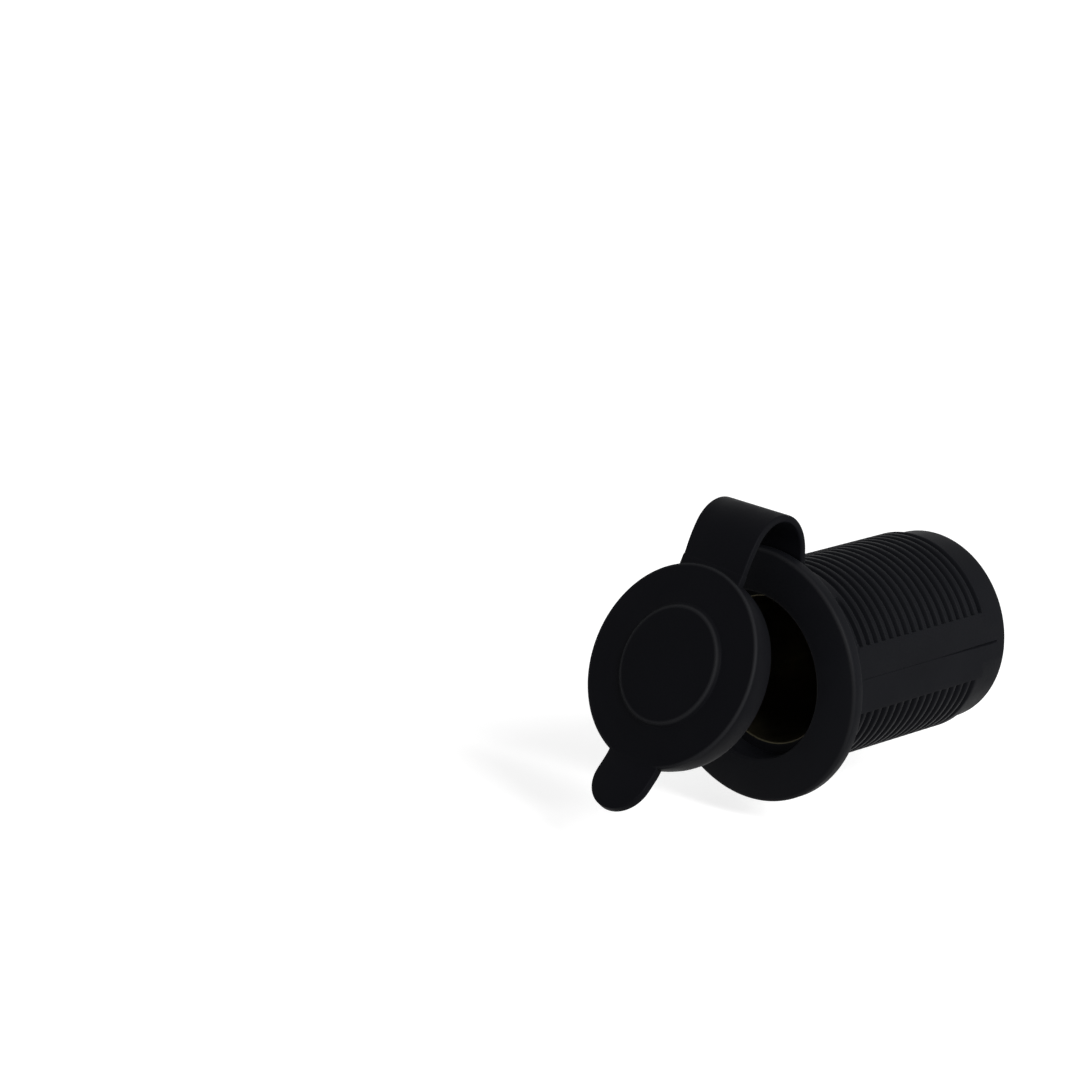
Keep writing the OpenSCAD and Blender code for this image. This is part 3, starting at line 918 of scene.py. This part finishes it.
# The pull tab: where it starts inside the lid, where and over what length it bends, and how far
TAB_T = 1.29
TAB_ROOT_Z = -11.5
TAB_BEND_Z = -13.4
TAB_BEND_LEN = 1.9
TAB_LIFT = math.radians(17)

# The strap's root: its middle's height, its own height, and how much it is thicker than the strap
ROOT_Z = 13.2
ROOT_H = 4.4
ROOT_EXTRA = 0.12


class SocketLid(bpy.types.Operator):
    """Turns the push-in lid with its raised disc and joins the pull tab to it"""

    bl_idname = "power_socket.lid"
    bl_label = "Lid"

    def execute(self, context):
        sizes = context.scene.power_socket
        top = -sizes.disc_height / MM
        disc = [(0, top), (7.0, top)]
        disc += arc((8.3, top + 0.18), 0.18, -90, -40, 3)
        disc += [(8.86, -0.09), (8.95, -0.02), (9.05, 0), (11.5, 0)]
        edge = arc((LID_R - LID_ROUND, LID_ROUND), LID_ROUND, -90, 0, 6)
        side = [(14.74, 1.2), (14.62, 2.2), (14.42, 3.2), (14.18, 4.1), (13.98, 4.6)]
        side += [(13.75, 4.82), (13.5, 4.85)]
        collar = [(11.85, 4.85), (11.7, 5.0), (11.7, 6.75), (11.55, 7.05), (11.2, 7.25)]
        collar += [(10.6, 7.25), (10.3, 7.0), (10.3, 3.6), (10.0, 3.25), (9.6, 3.2), (0, 3.2)]
        outline = disc + edge + side + collar
        lid = turn_on_axis("lid_moulding", outline, steps=144)
        unite(lid, self.tab(sizes))
        unite(lid, self.strap_root())
        settle(lid, LID_PLACE)
        finish_piece(lid, soft_plastic(sizes.lid_colour), "lid", ["lid"])
        return {"FINISHED"}

    def tab(self, sizes):
        """Pull tab with a round end, bent forward for a finger to get behind it."""
        end_r = sizes.tab_width / MM / 2
        tip = arc((0, end_r - sizes.tab_reach / MM), end_r, 0, -180, 28)
        points = [(end_r, TAB_ROOT_Z)] + tip + [(-end_r, TAB_ROOT_Z)]
        tab = plate("pull_tab", [(x, 0.01, z) for x, z in points], (0, TAB_T, 0))
        take(tab)
        bpy.ops.object.mode_set(mode="EDIT")
        for n in range(7):
            level = (TAB_BEND_Z - TAB_BEND_LEN * n / 6) * MM
            bpy.ops.mesh.select_all(action="SELECT")
            bpy.ops.mesh.bisect(plane_co=(0, 0, level), plane_no=(0, 0, 1))
        bpy.ops.object.mode_set(mode="OBJECT")
        bend_r = TAB_BEND_LEN / TAB_LIFT
        for vertex in tab.data.vertices:
            x, y, z = (c / MM for c in vertex.co)
            s = TAB_BEND_Z - z
            if s > 0:
                a = min(s / bend_r, TAB_LIFT)
                past = max(0.0, s - TAB_BEND_LEN)
                z = TAB_BEND_Z - (bend_r + y) * math.sin(a) - past * math.cos(a)
                y = (bend_r + y) * math.cos(a) - bend_r - past * math.sin(a)
            vertex.co = Vector((x, y, z)) * MM
        soften(tab, 0.22, 3, 50)
        return tab

    def strap_root(self):
        """Thickened root of the strap on the lid's rim."""
        leave_edit()
        bpy.ops.mesh.primitive_cube_add(size=MM, location=(0, ROOT_DEPTH * MM, ROOT_Z * MM))
        root = bpy.context.active_object
        root.scale = (STRAP_W + ROOT_EXTRA, STRAP_T + ROOT_EXTRA, ROOT_H)
        bpy.ops.object.transform_apply(location=True, rotation=True, scale=True)
        soften(root, 0.36, 4)
        return root


# ---- the stage

# The floor lies just under the pull tab where it hangs with the lid closed. Its glow for the
# camera grows to full white between two distances from the socket, in metres.
FLOOR_Z = -22.0
FLOOR_SPAN = 12
FLOOR_LEVEL = 0.5
FLOOR_GLOW = 0.75
FLOOR_FADE = (0.25, 0.9)
WORLD_LIGHT = 0.2

# Each lamp's name, place and width in metres, and power in watts
LAMPS = (
    ("Key light", (0.75, -0.25, 0.42), 0.3, 10.0),
    ("Side light", (0.75, 0.35, 0.35), 0.4, 3.0),
    ("Top light", (0.05, 0.10, 0.90), 0.5, 0.8),
    ("Front fill", (0.35, -0.85, 0.06), 0.3, 2.0),
)
LAMP_AIM = (0, 0.005, 0)

# The camera's place in metres, its turns in degrees, and its lens and sensor in millimetres
CAMERA_PLACE = (0.40318, -0.47201, 0.15950)
CAMERA_TURN = 43.53
CAMERA_DIP = 12.77
CAMERA_LEAN = -0.394
CAMERA_LENS = 150
CAMERA_SENSOR = 36


def seen_level(tree, unseen, seen):
    """One level for what the camera, reflections and clear pieces see, another for the light."""
    path = add_node(tree, "ShaderNodeLightPath", (-1150, 200))
    last = path.outputs["Is Camera Ray"]
    for n, name in enumerate(("Is Glossy Ray", "Is Transmission Ray")):
        last = calculate(tree, "MAXIMUM", (-900 + 250 * n, 200), last, path.outputs[name])
    level = add_node(tree, "ShaderNodeMapRange", (-400, 200))
    feed(tree, unseen, level.inputs["To Min"])
    feed(tree, seen, level.inputs["To Max"])
    feed(tree, last, level.inputs["Value"])
    return level.outputs["Result"]


class SocketStage(bpy.types.Operator):
    """Sets the pale floor, the studio light and the camera"""

    bl_idname = "power_socket.stage"
    bl_label = "Stage"

    def execute(self, context):
        self.floor()
        self.world()
        for lamp in LAMPS:
            self.lamp(*lamp)
        self.camera()
        context.scene.view_settings.view_transform = "Standard"
        return {"FINISHED"}

    def floor(self):
        """Pale floor that keeps the socket's shadow, and fades into the white surround far off."""
        leave_edit()
        bpy.ops.mesh.primitive_plane_add(size=FLOOR_SPAN, location=(0, 0, FLOOR_Z * MM))
        obj = bpy.context.active_object
        obj.name = "floor"
        material, tree, shader = new_material("Pale floor")
        shader.inputs["Base Color"].default_value = (FLOOR_LEVEL, FLOOR_LEVEL, FLOOR_LEVEL, 1)
        shader.inputs["Roughness"].default_value = 0.9
        shader.inputs["Specular IOR Level"].default_value = 0.1
        shader.inputs["Emission Color"].default_value = (1, 1, 1, 1)
        coords = add_node(tree, "ShaderNodeTexCoord", (-1400, -200)).outputs["Object"]
        away = calculate(tree, "LENGTH", (-1200, -200), coords, vectors=True)
        fade = spread(tree, away, (-1000, -200), FLOOR_GLOW, 1.0, *FLOOR_FADE)
        tree.links.new(seen_level(tree, 0.0, fade), shader.inputs["Emission Strength"])
        obj.data.materials.append(material)

    def world(self):
        """White surround for the camera, at a plain level for the light."""
        world = bpy.data.worlds.new("Studio")
        bpy.context.scene.world = world
        world.use_nodes = True
        tree = world.node_tree
        back = tree.nodes["Background"]
        back.inputs["Color"].default_value = (1, 1, 1, 1)
        tree.links.new(seen_level(tree, WORLD_LIGHT, 1.0), back.inputs["Strength"])

    def lamp(self, name, place, size, power):
        """Square soft light aimed at the socket."""
        data = bpy.data.lights.new(name, "AREA")
        data.shape = "SQUARE"
        data.size = size
        data.energy = power
        obj = bpy.data.objects.new(name, data)
        bpy.context.scene.collection.objects.link(obj)
        obj.location = place
        aim = Vector(LAMP_AIM) - Vector(place)
        obj.rotation_euler = aim.to_track_quat("-Z", "Y").to_euler()

    def camera(self):
        """Camera at the photograph's angle."""
        data = bpy.data.cameras.new("Camera")
        data.lens = CAMERA_LENS
        data.sensor_width = CAMERA_SENSOR
        obj = bpy.data.objects.new("Camera", data)
        bpy.context.scene.collection.objects.link(obj)
        place = Matrix.Translation(CAMERA_PLACE)
        turn = Matrix.Rotation(math.radians(CAMERA_TURN), 4, "Z")
        tilt = Matrix.Rotation(math.radians(90 - CAMERA_DIP), 4, "X")
        lean = Matrix.Rotation(math.radians(CAMERA_LEAN), 4, "Z")
        obj.matrix_world = place @ turn @ tilt @ lean
        bpy.context.scene.camera = obj


# ---- what the add-on shows


class PowerSocketSettings(bpy.types.PropertyGroup):
    """Sizes and colours that a user would change"""

    disc_height: bpy.props.FloatProperty(
        name="Disc height",
        description="Height of the raised disc on the lid's face",
        subtype="DISTANCE",
        unit="LENGTH",
        min=0.2 * MM,
        max=1.5 * MM,
        default=0.6 * MM,
    )
    tab_reach: bpy.props.FloatProperty(
        name="Tab reach",
        description="Distance from the lid's middle to the tip of the pull tab",
        subtype="DISTANCE",
        unit="LENGTH",
        min=19 * MM,
        max=26 * MM,
        default=21.8 * MM,
    )
    tab_width: bpy.props.FloatProperty(
        name="Tab width",
        description="Width of the pull tab",
        subtype="DISTANCE",
        unit="LENGTH",
        min=6 * MM,
        max=12 * MM,
        default=9.5 * MM,
    )
    housing_colour: bpy.props.FloatVectorProperty(
        name="Housing colour",
        description="Base colour of the hard housing",
        subtype="COLOR",
        size=3,
        min=0,
        max=1,
        default=(0.0038, 0.0040, 0.0050),
    )
    lid_colour: bpy.props.FloatVectorProperty(
        name="Lid colour",
        description="Base colour of the soft ring, strap and lid",
        subtype="COLOR",
        size=3,
        min=0,
        max=1,
        default=(0.0022, 0.0023, 0.0031),
    )


class SocketPanel(bpy.types.Panel):
    """Lists the pieces of the power socket"""

    bl_idname = "VIEW3D_PT_power_socket"
    bl_label = "Power Socket"
    bl_space_type = "VIEW_3D"
    bl_region_type = "UI"
    bl_category = "Power Socket"

    def draw(self, context):
        for name in ("disc_height", "tab_reach", "tab_width", "housing_colour", "lid_colour"):
            self.layout.prop(context.scene.power_socket, name)
        for operator in OPERATORS:
            self.layout.operator(operator.bl_idname)


OPERATORS = (SocketHousing, SocketContacts, SocketRing, SocketStrap, SocketLid, SocketStage)
CLASSES = (PowerSocketSettings, *OPERATORS, SocketPanel)


def register():
    for item in CLASSES:
        bpy.utils.register_class(item)
    bpy.types.Scene.power_socket = bpy.props.PointerProperty(type=PowerSocketSettings)


def unregister():
    del bpy.types.Scene.power_socket
    for item in reversed(CLASSES):
        bpy.utils.unregister_class(item)


def main():
    """Registers the add-on, then builds every piece and the stage in order."""
    register()
    bpy.ops.power_socket.housing()
    bpy.ops.power_socket.contacts()
    bpy.ops.power_socket.ring()
    bpy.ops.power_socket.strap()
    bpy.ops.power_socket.lid()
    bpy.ops.power_socket.stage()


if __name__ == "__main__":
    main()
